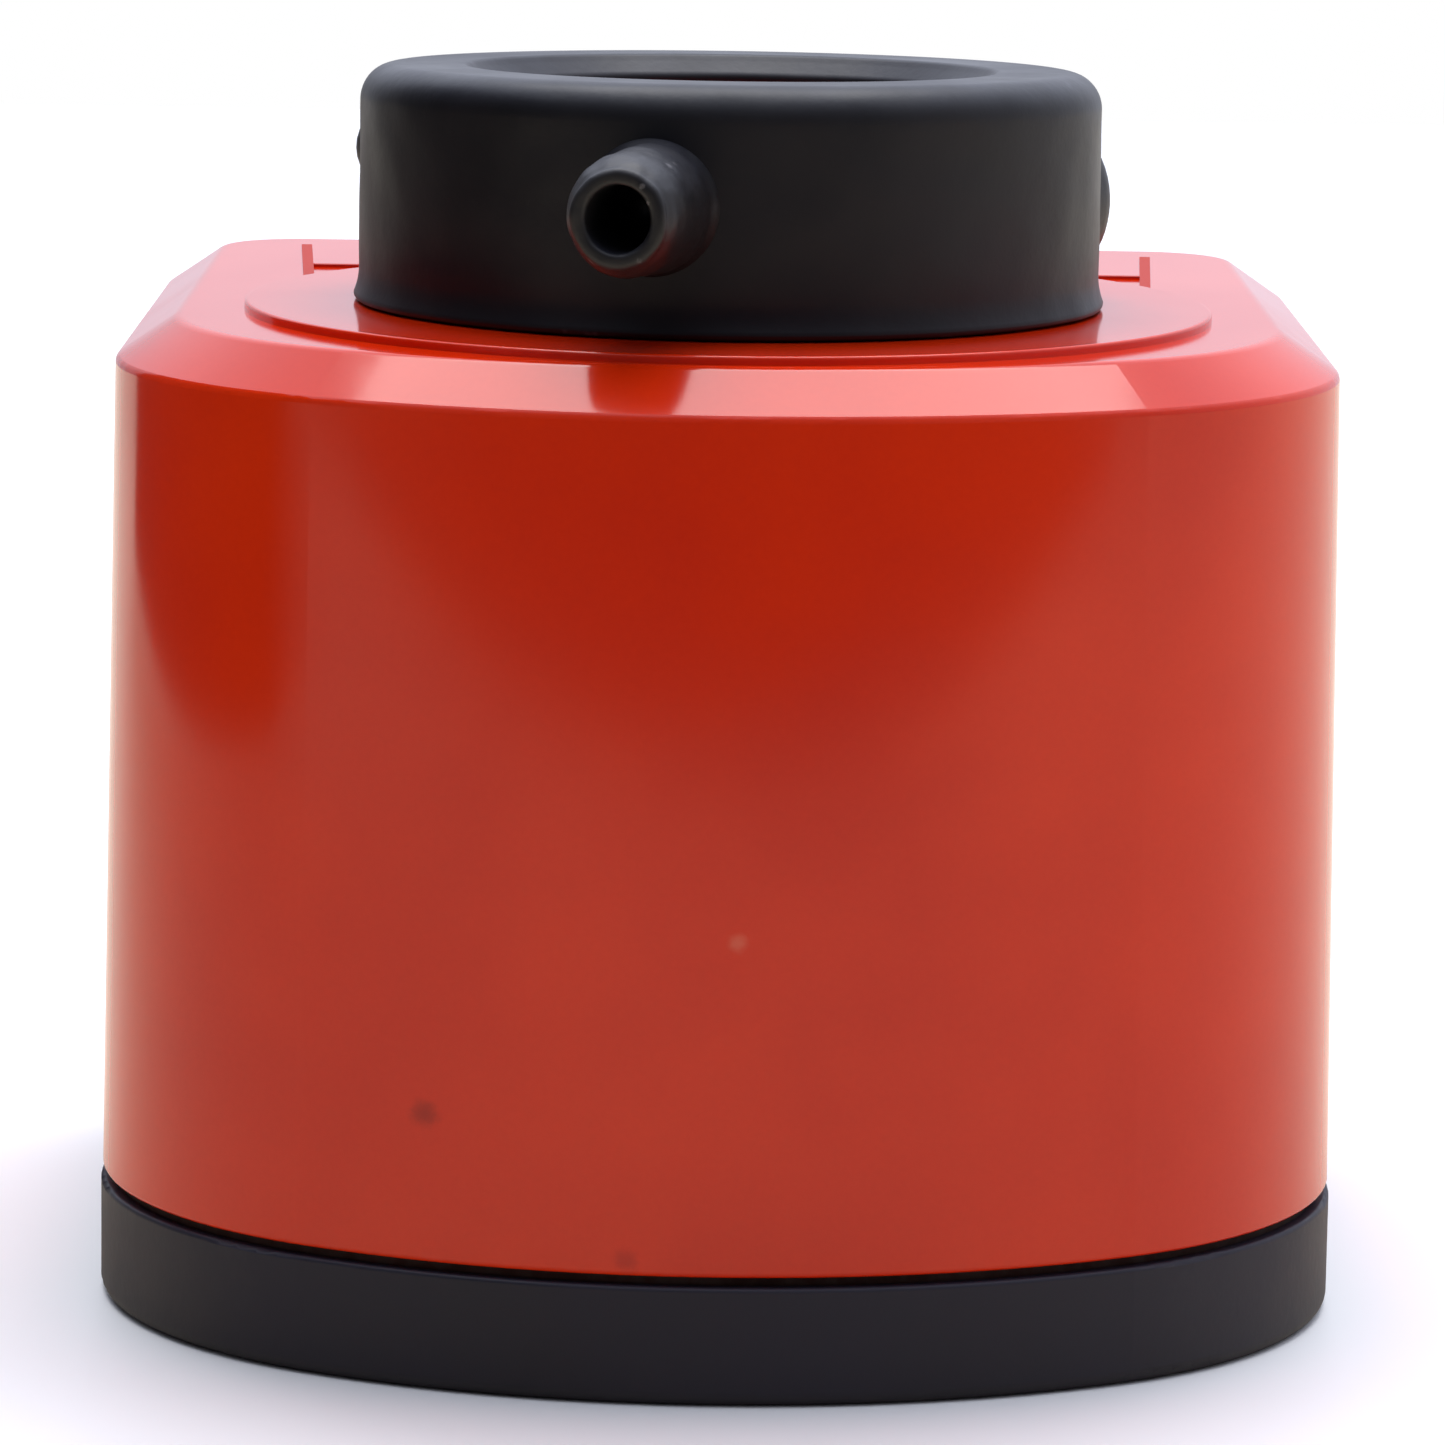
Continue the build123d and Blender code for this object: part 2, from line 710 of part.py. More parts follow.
# ---- rubber collar -----------------------------------------------------------------------------------
pads = (
    (right_pad_turn, right_pad_rise, right_pad_half_height, right_pad_proud),
    (-left_pad_turn, left_pad_rise, left_pad_half_height, left_pad_proud),
)
with BuildPart() as neck_collar:
    # grip pads just behind the widest point on each side, and the nipple's boss
    for turn, rise, half_height, proud in pads:
        pad_radius = (half_height**2 + proud**2) / (2 * proud)
        pad_reach = collar_radius + proud - pad_radius
        pad_x = pad_reach * sin(radians(turn))
        pad_y = axis_y - pad_reach * cos(radians(turn))
        with Locations((pad_x, pad_y, land_z + rise)):
            Sphere(pad_radius)
    with BuildSketch(nipple_section):
        with BuildLine():
            Polyline(
                (collar_radius - 1.5, 0),
                (collar_radius - 1.5, nipple_root_radius),
                (collar_radius, nipple_root_radius),
                (boss_end, stem_outer + boss_wall),
                (boss_end, 0),
                close=True,
            )
        make_face()
    revolve(axis=nipple_axis)
    with BuildSketch(at(collar_z)):
        Circle(collar_radius - 1.2)
    extrude(amount=collar_height, mode=Mode.SUBTRACT)
    # the ring itself, with its lip, foot bead, gallery and snap-ring groove
    with BuildSketch(section):
        with BuildLine():
            Polyline(
                (collar_bore, collar_z),
                (collar_radius + foot_bead, collar_z),
                (collar_radius + foot_bead, collar_z + foot_bead_height * 0.5),
                (collar_radius, collar_z + foot_bead_height),
                (collar_radius, collar_top),
                (pipe_radius, collar_top),
                (pipe_radius, collar_top - lip_thickness),
                (collar_bore, collar_top - lip_thickness),
                close=True,
            )
        make_face()
        with Locations((collar_bore, nipple_z)):
            Rectangle(2 * gallery_depth, 2 * gallery_half, mode=Mode.SUBTRACT)
        with Locations((collar_bore, snap_ring_z)):
            Rectangle(2 * snap_depth, 2 * snap_groove, mode=Mode.SUBTRACT)
    revolve(axis=neck_axis)
    fillet(edges_at(neck_collar, collar_top).sort_by(SortBy.RADIUS)[-1], collar_edge_radius)
    chamfer(edges_at(neck_collar, collar_top).sort_by(SortBy.RADIUS)[0], lip_lead_in)
    with BuildSketch(nipple_section):
        with Locations(((gallery_radius + nipple_end) / 2, stem_outer / 2)):
            Rectangle(nipple_end - gallery_radius, stem_outer)
    revolve(axis=nipple_axis, mode=Mode.SUBTRACT)
finish(neck_collar, "neck_collar")

print("height", round(collar_top, 3), "axis_y", round(axis_y, 3), "nipple z", round(nipple_z, 3))
print("land radius", round(land_radius, 3), "element radius", round(element_radius, 3))
print("collar radius", round(collar_radius, 3), "spigot top", round(spigot_top, 3))
print("nipple axis", outward, "end", round(nipple_end, 3))
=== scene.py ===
import json
import math

import bpy
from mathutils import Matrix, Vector, noise


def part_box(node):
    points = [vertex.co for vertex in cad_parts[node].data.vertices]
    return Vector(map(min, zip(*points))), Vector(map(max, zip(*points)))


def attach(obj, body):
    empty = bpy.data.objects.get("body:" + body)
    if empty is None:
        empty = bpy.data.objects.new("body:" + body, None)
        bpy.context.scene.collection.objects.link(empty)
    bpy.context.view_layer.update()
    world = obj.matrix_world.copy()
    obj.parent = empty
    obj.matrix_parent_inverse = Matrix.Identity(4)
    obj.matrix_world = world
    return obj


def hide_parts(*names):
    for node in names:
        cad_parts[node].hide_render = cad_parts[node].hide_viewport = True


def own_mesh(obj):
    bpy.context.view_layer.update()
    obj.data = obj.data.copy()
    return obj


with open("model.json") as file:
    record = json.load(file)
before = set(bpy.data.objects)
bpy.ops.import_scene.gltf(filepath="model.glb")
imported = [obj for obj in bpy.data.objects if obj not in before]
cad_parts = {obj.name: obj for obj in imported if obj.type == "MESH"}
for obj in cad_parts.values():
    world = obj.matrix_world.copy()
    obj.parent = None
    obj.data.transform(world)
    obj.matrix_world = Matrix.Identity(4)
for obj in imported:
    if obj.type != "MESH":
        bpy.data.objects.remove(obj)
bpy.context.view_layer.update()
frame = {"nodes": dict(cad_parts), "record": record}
nodes = frame["nodes"]
print("frame loaded:", len(nodes), "nodes")

scene = bpy.context.scene
scene.view_settings.view_transform = "Standard"
scene.view_settings.look = "None"

# places read from the frame
collarLow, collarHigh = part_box("neck_collar")
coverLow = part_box("base_cover")[0]
mediaLow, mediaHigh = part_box("filter_media")
neckX = (mediaLow.x + mediaHigh.x) / 2
neckY = (mediaLow.y + mediaHigh.y) / 2
deckLevel = 0.0525  # top of the housing round the neck, in metres
landRadius = 0.0259  # low round land under the collar


# small helpers for node trees
def addNode(tree, kind, place=(0, 0), **settings):
    node = tree.nodes.new(kind)
    node.location = place
    for name, value in settings.items():
        setattr(node, name, value)
    return node


def setInputs(node, **values):
    for name, value in values.items():
        node.inputs[name.replace("_", " ")].default_value = value


def newGroup(name, inputs, outputs):
    # inputs are (name, kind, default); outputs are (name, kind)
    group = bpy.data.node_groups.new(name, "ShaderNodeTree")
    kinds = {"value": "NodeSocketFloat", "colour": "NodeSocketColor"}
    for label, kind, default in inputs:
        socket = group.interface.new_socket(name=label, in_out="INPUT", socket_type=kinds[kind])
        socket.default_value = default
    for label, kind in outputs:
        group.interface.new_socket(name=label, in_out="OUTPUT", socket_type=kinds[kind])
    given = addNode(group, "NodeGroupInput", (-900, 0))
    result = addNode(group, "NodeGroupOutput", (900, 0))
    return group, given, result


def noiseNode(tree, vector, scale, detail=4.0, roughness=0.5, place=(0, 0)):
    cloud = addNode(tree, "ShaderNodeTexNoise", place)
    setInputs(cloud, Scale=scale, Detail=detail, Roughness=roughness)
    tree.links.new(vector, cloud.inputs["Vector"])
    return cloud


def rangeNode(tree, value, low, high, outLow=0.0, outHigh=1.0, smooth=False, place=(0, 0)):
    mapped = addNode(tree, "ShaderNodeMapRange", place)
    mapped.interpolation_type = "SMOOTHSTEP" if smooth else "LINEAR"
    mapped.clamp = True
    mapped.inputs["From Min"].default_value = low
    mapped.inputs["From Max"].default_value = high
    mapped.inputs["To Min"].default_value = outLow
    mapped.inputs["To Max"].default_value = outHigh
    tree.links.new(value, mapped.inputs["Value"])
    return mapped.outputs["Result"]


def mixColour(tree, mask, first, second, place=(0, 0)):
    mix = addNode(tree, "ShaderNodeMix", place, data_type="RGBA")
    for socket, value in ((mix.inputs[0], mask), (mix.inputs[6], first), (mix.inputs[7], second)):
        if isinstance(value, bpy.types.NodeSocket):
            tree.links.new(value, socket)
        else:
            socket.default_value = value
    return mix.outputs[2]


def mathNode(tree, operation, first, second, place=(0, 0)):
    node = addNode(tree, "ShaderNodeMath", place, operation=operation)
    for socket, value in ((node.inputs[0], first), (node.inputs[1], second)):
        if isinstance(value, bpy.types.NodeSocket):
            tree.links.new(value, socket)
        else:
            socket.default_value = value
    return node.outputs[0]


# fine moulding grain: colour mottle, a roughness mask and a small height
def makeMouldGrain():
    group, given, result = newGroup(
        "mouldGrain",
        [("Colour", "colour", (0.5, 0.1, 0.05, 1)), ("Deep", "colour", (0.4, 0.05, 0.02, 1)),
         ("Mottle Scale", "value", 90.0), ("Grain Scale", "value", 2200.0)],
        [("Colour", "colour"), ("Mask", "value"), ("Height", "value")],
    )
    where = addNode(group, "ShaderNodeTexCoord", (-900, -250)).outputs["Object"]
    broad = noiseNode(group, where, 1.0, 3.0, 0.55, (-600, 200))
    group.links.new(given.outputs["Mottle Scale"], broad.inputs["Scale"])
    grain = noiseNode(group, where, 1.0, 2.0, 0.6, (-600, -200))
    group.links.new(given.outputs["Grain Scale"], grain.inputs["Scale"])
    patch = rangeNode(group, broad.outputs["Fac"], 0.3, 0.7, place=(-350, 200))
    both = mathNode(group, "MULTIPLY", patch, 0.75, (-100, 150))
    speck = mathNode(group, "MULTIPLY", grain.outputs["Fac"], 0.25, (-100, 0))
    mask = mathNode(group, "ADD", both, speck, (100, 100))
    colour = mixColour(group, mask, given.outputs["Colour"], given.outputs["Deep"],
                       place=(350, 200))
    group.links.new(colour, result.inputs["Colour"])
    group.links.new(mask, result.inputs["Mask"])
    group.links.new(grain.outputs["Fac"], result.inputs["Height"])
    return group


# light rubbed patches that follow edges, broken up by noise
def makeEdgeWear():
    group, given, result = newGroup(
        "edgeWear",
        [("Colour", "colour", (0.02, 0.02, 0.02, 1)), ("Worn", "colour", (0.2, 0.2, 0.2, 1)),
         ("Low", "value", 0.52), ("High", "value", 0.62), ("Amount", "value", 0.5)],
        [("Colour", "colour"), ("Mask", "value")],
    )
    edge = addNode(group, "ShaderNodeNewGeometry", (-900, -200)).outputs["Pointiness"]
    where = addNode(group, "ShaderNodeTexCoord", (-900, -450)).outputs["Object"]
    breakUp = noiseNode(group, where, 900.0, 4.0, 0.65, (-650, -400))
    sharp = addNode(group, "ShaderNodeMapRange", (-500, 0), clamp=True,
                    interpolation_type="SMOOTHSTEP")
    group.links.new(edge, sharp.inputs["Value"])
    group.links.new(given.outputs["Low"], sharp.inputs["From Min"])
    group.links.new(given.outputs["High"], sharp.inputs["From Max"])
    patch = rangeNode(group, breakUp.outputs["Fac"], 0.42, 0.6, place=(-400, -400))
    worn = mathNode(group, "MULTIPLY", sharp.outputs["Result"], patch, (-150, -150))
    mask = mathNode(group, "MULTIPLY", worn, given.outputs["Amount"], (50, -150))
    colour = mixColour(group, mask, given.outputs["Colour"], given.outputs["Worn"],
                       place=(350, 100))
    group.links.new(colour, result.inputs["Colour"])
    group.links.new(mask, result.inputs["Mask"])
    return group


# painted sheen: a pale, uneven lightening of the colour on what faces up, standing in for the light
# from above
def makePaintedTopSheen():
    group, given, result = newGroup(
        "paintedTopSheen",
        [("Colour", "colour", (0.01, 0.01, 0.01, 1)), ("Sheen", "colour", (0.05, 0.055, 0.08, 1)),
         ("Amount", "value", 0.6)],
        [("Colour", "colour"), ("Mask", "value")],
    )
    normal = addNode(group, "ShaderNodeNewGeometry", (-900, -100)).outputs["Normal"]
    facing = addNode(group, "ShaderNodeSeparateXYZ", (-700, -100))
    group.links.new(normal, facing.inputs[0])
    where = addNode(group, "ShaderNodeTexCoord", (-900, -350)).outputs["Object"]
    patch = noiseNode(group, where, 420.0, 4.0, 0.6, (-700, -350)).outputs["Fac"]
    up = rangeNode(group, facing.outputs["Z"], 0.15, 0.95, smooth=True, place=(-500, -100))
    uneven = rangeNode(group, patch, 0.25, 0.7, 0.55, 1.0, place=(-500, -350))
    litUp = mathNode(group, "MULTIPLY", up, uneven, (-350, -200))
    mask = mathNode(group, "MULTIPLY", litUp, given.outputs["Amount"], (-200, -200))
    colour = mixColour(group, mask, given.outputs["Colour"], given.outputs["Sheen"],
                       place=(200, 100))
    group.links.new(colour, result.inputs["Colour"])
    group.links.new(mask, result.inputs["Mask"])
    return group


mouldGrain = makeMouldGrain()
edgeWear = makeEdgeWear()
paintedTopSheen = makePaintedTopSheen()


def placeGroup(tree, group, place=(0, 0), **values):
    node = addNode(tree, "ShaderNodeGroup", place)
    node.node_tree = group
    for name, value in values.items():
        socket = node.inputs[name.replace("_", " ")]
        if isinstance(value, bpy.types.NodeSocket):
            tree.links.new(value, socket)
        else:
            socket.default_value = value
    return node


def newMaterial(name):
    material = bpy.data.materials.new(name)
    material.use_nodes = True
    tree = material.node_tree
    shader = tree.nodes["Principled BSDF"]
    return material, tree, shader


def bumpFrom(tree, height, strength, distance, shader):
    bump = addNode(tree, "ShaderNodeBump", (-200, -300))
    setInputs(bump, Strength=strength, Distance=distance)
    tree.links.new(height, bump.inputs["Height"])
    tree.links.new(bump.outputs["Normal"], shader.inputs["Normal"])


print("groups ready")


# housing: glossy orange-red moulding with a few moulded-in specks
shellLook = {
    "colour": (0.82, 0.036, 0.0015, 1),
    "deep": (0.64, 0.018, 0.0008, 1),
    "markShadeColour": (0.45, 0.016, 0.002, 1),
    "roughness": 0.10,
    "specular": 0.42,
    "ior": 1.5,
    "mottleScale": 45.0,
    "grainScale": 2600.0,
    "grainBump": 0.05,
    "grainDepth": 0.00002,
    "specksBefore": -0.030,  # Y that only the bowed front lies in front of
    "markDullness": 0.7,
    "specks": [  # (x, z, radius, colour, strength) on the bowed front, in metres
        (-0.0149, 0.0144, 0.0008, (0.16, 0.004, 0.002, 1), 0.5),
        (0.0008, 0.0239, 0.0005, (0.80, 0.20, 0.13, 1), 0.45),
        (-0.0046, 0.0075, 0.0007, (0.40, 0.006, 0.002, 1), 0.45),
    ],
}


def speckMask(tree, where, ragged, x, z, radius, strength):
    # a small uneven dot at (x, z) on the bowed front
    apart = addNode(tree, "ShaderNodeVectorMath", (-1300, -200), operation="SUBTRACT")
    tree.links.new(where, apart.inputs[0])
    apart.inputs[1].default_value = (x, 0, z)
    parts = addNode(tree, "ShaderNodeSeparateXYZ", (-1100, -200))
    tree.links.new(apart.outputs[0], parts.inputs[0])
    flat = addNode(tree, "ShaderNodeCombineXYZ", (-950, -200))
    tree.links.new(parts.outputs["X"], flat.inputs["X"])
    tree.links.new(parts.outputs["Z"], flat.inputs["Z"])
    before = shellLook["specksBefore"]
    front = rangeNode(tree, parts.outputs["Y"], before - 0.001, before, 1.0, 0.0,
                      place=(-950, -400))
    far = addNode(tree, "ShaderNodeVectorMath", (-800, -200), operation="LENGTH")
    tree.links.new(flat.outputs[0], far.inputs[0])
    wobble = mathNode(tree, "MULTIPLY", ragged, radius * 0.9, (-800, -400))
    reach = mathNode(tree, "ADD", far.outputs["Value"], wobble, (-650, -300))
    spot = rangeNode(tree, reach, radius * 0.6, radius * 1.7, strength, 0.0, smooth=True,
                     place=(-500, -300))
    return mathNode(tree, "MULTIPLY", spot, front, (-350, -300))


def markMask(tree, where):
    # mask of the raised marks on the deck, outside the round land: their colour gets painted shade
    # and their roughness is rubbed dull
    parts = addNode(tree, "ShaderNodeSeparateXYZ", (-1300, 500))
    tree.links.new(where, parts.inputs[0])
    raised = rangeNode(tree, parts.outputs["Z"], deckLevel + 0.00006, deckLevel + 0.00012,
                       place=(-1100, 500))
    under = rangeNode(tree, parts.outputs["Z"], deckLevel + 0.0002, deckLevel + 0.00026, 1.0, 0.0,
                      place=(-1100, 700))
    flat = addNode(tree, "ShaderNodeCombineXYZ", (-1100, 900))
    tree.links.new(parts.outputs["X"], flat.inputs["X"])
    tree.links.new(parts.outputs["Y"], flat.inputs["Y"])
    apart = addNode(tree, "ShaderNodeVectorMath", (-950, 900), operation="DISTANCE")
    tree.links.new(flat.outputs[0], apart.inputs[0])
    apart.inputs[1].default_value = (neckX, neckY, 0)
    clear = rangeNode(tree, apart.outputs["Value"], landRadius + 0.0001, landRadius + 0.0003,
                      place=(-800, 900))
    standing = mathNode(tree, "MULTIPLY", raised, under, (-750, 600))
    return mathNode(tree, "MULTIPLY", standing, clear, (-600, 700))


def makeShell():
    look = shellLook
    material, tree, shader = newMaterial("shellMoulding")
    grain = placeGroup(tree, mouldGrain, (-700, 200), Colour=look["colour"], Deep=look["deep"],
                       Mottle_Scale=look["mottleScale"], Grain_Scale=look["grainScale"])
    colour = grain.outputs["Colour"]
    where = addNode(tree, "ShaderNodeTexCoord", (-1500, -300)).outputs["Object"]
    ragged = noiseNode(tree, where, 1800.0, 3.0, 0.6, (-1300, -500)).outputs["Fac"]
    for x, z, radius, tint, strength in look["specks"]:
        speck = speckMask(tree, where, ragged, x, z, radius, strength)
        colour = mixColour(tree, speck, colour, tint, place=(-250, 100))
    marked = markMask(tree, where)
    # painted shade: the raised marks are darkened in the colour
    colour = mixColour(tree, marked, colour, look["markShadeColour"], place=(-100, 300))
    tree.links.new(colour, shader.inputs["Base Color"])
    rough = rangeNode(tree, grain.outputs["Mask"], 0.2, 0.8,
                      look["roughness"] - 0.02, look["roughness"] + 0.04, place=(-300, -100))
    rubbed = mathNode(tree, "MULTIPLY", marked, look["markDullness"], (-300, -250))
    dull = mathNode(tree, "MAXIMUM", rough, rubbed, (-100, -100))
    tree.links.new(dull, shader.inputs["Roughness"])
    setInputs(shader, IOR=look["ior"])
    shader.inputs["Specular IOR Level"].default_value = look["specular"]
    bumpFrom(tree, grain.outputs["Height"], look["grainBump"], look["grainDepth"], shader)
    return material


# base cover, collar and nipple: dark mouldings and rubber
# paintedSheen sets how much painted top sheen each dark material gets
darkLooks = {
    "coverMoulding": dict(colour=(0.011, 0.011, 0.023, 1), deep=(0.021, 0.020, 0.037, 1),
                          worn=(0.07, 0.068, 0.075, 1), wear=0.5, roughness=0.5, specular=0.35,
                          mottle=60.0, grain=1500.0, bump=0.35, depth=0.00004, paintedSheen=0.2),
    "collarRubber": dict(colour=(0.0045, 0.0045, 0.007, 1), deep=(0.009, 0.009, 0.013, 1),
                         worn=(0.10, 0.10, 0.12, 1), wear=0.45, roughness=0.41, specular=0.34,
                         mottle=70.0, grain=1700.0, bump=0.3, depth=0.00004, paintedSheen=0.42),
    "nippleMoulding": dict(colour=(0.008, 0.0075, 0.009, 1), deep=(0.014, 0.013, 0.015, 1),
                           worn=(0.20, 0.19, 0.20, 1), wear=0.8, roughness=0.40, specular=0.42,
                           mottle=200.0, grain=1400.0, bump=0.5, depth=0.00006, paintedSheen=0.35),
    "gasketRubber": dict(colour=(0.022, 0.003, 0.002, 1), deep=(0.010, 0.003, 0.003, 1),
                         worn=(0.05, 0.04, 0.04, 1), wear=0.3, roughness=0.75, specular=0.2,
                         mottle=90.0, grain=1800.0, bump=0.3, depth=0.00003, paintedSheen=0.1),
    "sealRubber": dict(colour=(0.035, 0.018, 0.014, 1), deep=(0.05, 0.025, 0.02, 1),
                       worn=(0.1, 0.06, 0.05, 1), wear=0.3, roughness=0.55, specular=0.35,
                       mottle=120.0, grain=1600.0, bump=0.2, depth=0.00003, paintedSheen=0.1),
}


def makeDark(name):
    look = darkLooks[name]
    material, tree, shader = newMaterial(name)
    grain = placeGroup(tree, mouldGrain, (-800, 200), Colour=look["colour"], Deep=look["deep"],
                       Mottle_Scale=look["mottle"], Grain_Scale=look["grain"])
    wear = placeGroup(tree, edgeWear, (-500, 200), Colour=grain.outputs["Colour"],
                      Worn=look["worn"], Amount=look["wear"])
    # painted sheen: up-facing surfaces are lightened in the colour
    paintedSheen = placeGroup(tree, paintedTopSheen, (-300, 250), Colour=wear.outputs["Colour"],
                       Amount=look["paintedSheen"])
    tree.links.new(paintedSheen.outputs["Colour"], shader.inputs["Base Color"])
    rough = rangeNode(tree, grain.outputs["Mask"], 0.2, 0.8,
                      look["roughness"] - 0.05, look["roughness"] + 0.1, place=(-300, -50))
    tree.links.new(rough, shader.inputs["Roughness"])
    shader.inputs["Specular IOR Level"].default_value = look["specular"]
    bumpFrom(tree, grain.outputs["Height"], look["bump"], look["depth"], shader)
    return material


# metals: brushed or drawn along one direction
metalLooks = {
    "zincSteel": dict(colour=(0.55, 0.56, 0.58, 1), deep=(0.40, 0.41, 0.44, 1),
                      roughness=0.3, metallic=1.0),
    "springWire": dict(colour=(0.38, 0.38, 0.40, 1), deep=(0.26, 0.26, 0.28, 1),
                       roughness=0.28, metallic=1.0),
    "tinnedTube": dict(colour=(0.60, 0.60, 0.60, 1), deep=(0.45, 0.45, 0.46, 1),
                       roughness=0.35, metallic=1.0),
    "coatedCap": dict(colour=(0.12, 0.13, 0.14, 1), deep=(0.09, 0.095, 0.10, 1),
                      roughness=0.45, metallic=0.2),
    "turnedBrass": dict(colour=(0.70, 0.47, 0.16, 1), deep=(0.55, 0.34, 0.10, 1),
                        roughness=0.27, metallic=1.0),
}
brushScale = (400, 400, 6000)  # fine lines round the parts


def makeMetal(name):
    look = metalLooks[name]
    material, tree, shader = newMaterial(name)
    where = addNode(tree, "ShaderNodeTexCoord", (-1200, 0)).outputs["Object"]
    stretch = addNode(tree, "ShaderNodeMapping", (-1000, 0))
    stretch.inputs["Scale"].default_value = brushScale
    tree.links.new(where, stretch.inputs["Vector"])
    lines = noiseNode(tree, stretch.outputs["Vector"], 1.0, 3.0, 0.6, (-800, 0)).outputs["Fac"]
    drawn = rangeNode(tree, lines, 0.35, 0.65, place=(-600, 100))
    colour = mixColour(tree, drawn, look["colour"], look["deep"], place=(-400, 100))
    tree.links.new(colour, shader.inputs["Base Color"])
    rough = rangeNode(tree, lines, 0.2, 0.8, look["roughness"] - 0.06, look["roughness"] + 0.1,
                      place=(-600, -150))
    tree.links.new(rough, shader.inputs["Roughness"])
    shader.inputs["Metallic"].default_value = look["metallic"]
    bumpFrom(tree, lines, 0.12, 0.00002, shader)
    return material


# pleated paper: fine fibres and faint stains
paperLook = {
    "colour": (0.66, 0.47, 0.2, 1),
    "deep": (0.52, 0.34, 0.13, 1),
    "stain": (0.38, 0.22, 0.08, 1),
    "fibreScale": 1500.0,
    "stainScale": 70.0,
}


def makePaper():
    look = paperLook
    material, tree, shader = newMaterial("filterPaper")
    where = addNode(tree, "ShaderNodeTexCoord", (-1200, 0)).outputs["Object"]
    fibres = noiseNode(tree, where, look["fibreScale"], 6.0, 0.7, (-900, 100)).outputs["Fac"]
    stains = noiseNode(tree, where, look["stainScale"], 3.0, 0.5, (-900, -150)).outputs["Fac"]
    fibre = rangeNode(tree, fibres, 0.35, 0.65, place=(-700, 200))
    pale = mixColour(tree, fibre, look["colour"], look["deep"], place=(-500, 200))
    stained = rangeNode(tree, stains, 0.45, 0.75, 0.0, 0.5, place=(-700, -150))
    colour = mixColour(tree, stained, pale, look["stain"], place=(-300, 100))
    tree.links.new(colour, shader.inputs["Base Color"])
    rough = rangeNode(tree, fibres, 0.2, 0.8, 0.7, 0.95, place=(-500, -50))
    tree.links.new(rough, shader.inputs["Roughness"])
    bumpFrom(tree, fibres, 0.4, 0.00005, shader)
    return material


# relief poppet: undyed nylon
nylonLook = {
    "colour": (0.62, 0.58, 0.46, 1),
    "deep": (0.54, 0.50, 0.38, 1),
    "mottleScale": 150.0,
    "grainScale": 1800.0,
}


def makeNylon():
    look = nylonLook
    material, tree, shader = newMaterial("naturalNylon")
    grain = placeGroup(tree, mouldGrain, (-600, 100), Colour=look["colour"], Deep=look["deep"],
                       Mottle_Scale=look["mottleScale"], Grain_Scale=look["grainScale"])
    tree.links.new(grain.outputs["Colour"], shader.inputs["Base Color"])
    rough = rangeNode(tree, grain.outputs["Mask"], 0.2, 0.8, 0.38, 0.5, place=(-300, -50))
    tree.links.new(rough, shader.inputs["Roughness"])
    bumpFrom(tree, grain.outputs["Height"], 0.15, 0.00003, shader)
    return material


slotMaterials = {  # by the record's material slots
    "shell": makeShell(),
    "cover": makeDark("coverMoulding"),
    "collar": makeDark("collarRubber"),
    "nipple": makeDark("nippleMoulding"),
    "gasket": makeDark("gasketRubber"),
    "seal": makeDark("sealRubber"),
    "steel": makeMetal("zincSteel"),
    "spring": makeMetal("springWire"),
    "cap": makeMetal("coatedCap"),
    "tube": makeMetal("tinnedTube"),
    "brass": makeMetal("turnedBrass"),
    "paper": makePaper(),
    "poppet": makeNylon(),
}
for part in frame["record"]["subparts"]:
    piece = nodes[part["node"]]
    for slot in piece.material_slots:
        slot.material = slotMaterials[part["material_slot"]]
print("materials on", len(nodes), "nodes")


# neck collar: a soft rubber ring, revolved and then worn and pushed slightly out of true
collarLook = {
    "rings": 256,  # points round the ring
    "edgeRadius": 0.0019,  # round of the top outer edge
    "leadIn": 0.00095,  # slope into the bore
    "lipDepth": 0.0021,
    "footFlare": 0.0003,
    "footHeight": 0.0018,
    "footRound": 0.0003,
    "tilt": 1.2,  # degrees the top leans back
    "wobble": 0.00006,  # how far the rubber strays from round
    "wobbleSize": 0.006,
    "skin": 0.0012,  # only this much of the outside strays
}
turnAxis = Vector((neckX, neckY, 0))
boreRadius = 0.01295
collarRadius = 0.0198
innerRadius = 0.01618  # wall inside, round the spigot


def arcPoints(centre, radius, start, end, count):
    found = []
    for step in range(count + 1):
        angle = math.radians(start + (end - start) * step / count)
        found.append((centre[0] + radius * math.cos(angle), centre[1] + radius * math.sin(angle)))
    return found


def spacedPoints(start, end, count):
    found = []
    for step in range(count + 1):
        share = step / count
        found.append((start[0] + (end[0] - start[0]) * share, start[1] + (end[1] - start[1]) * share))
    return found


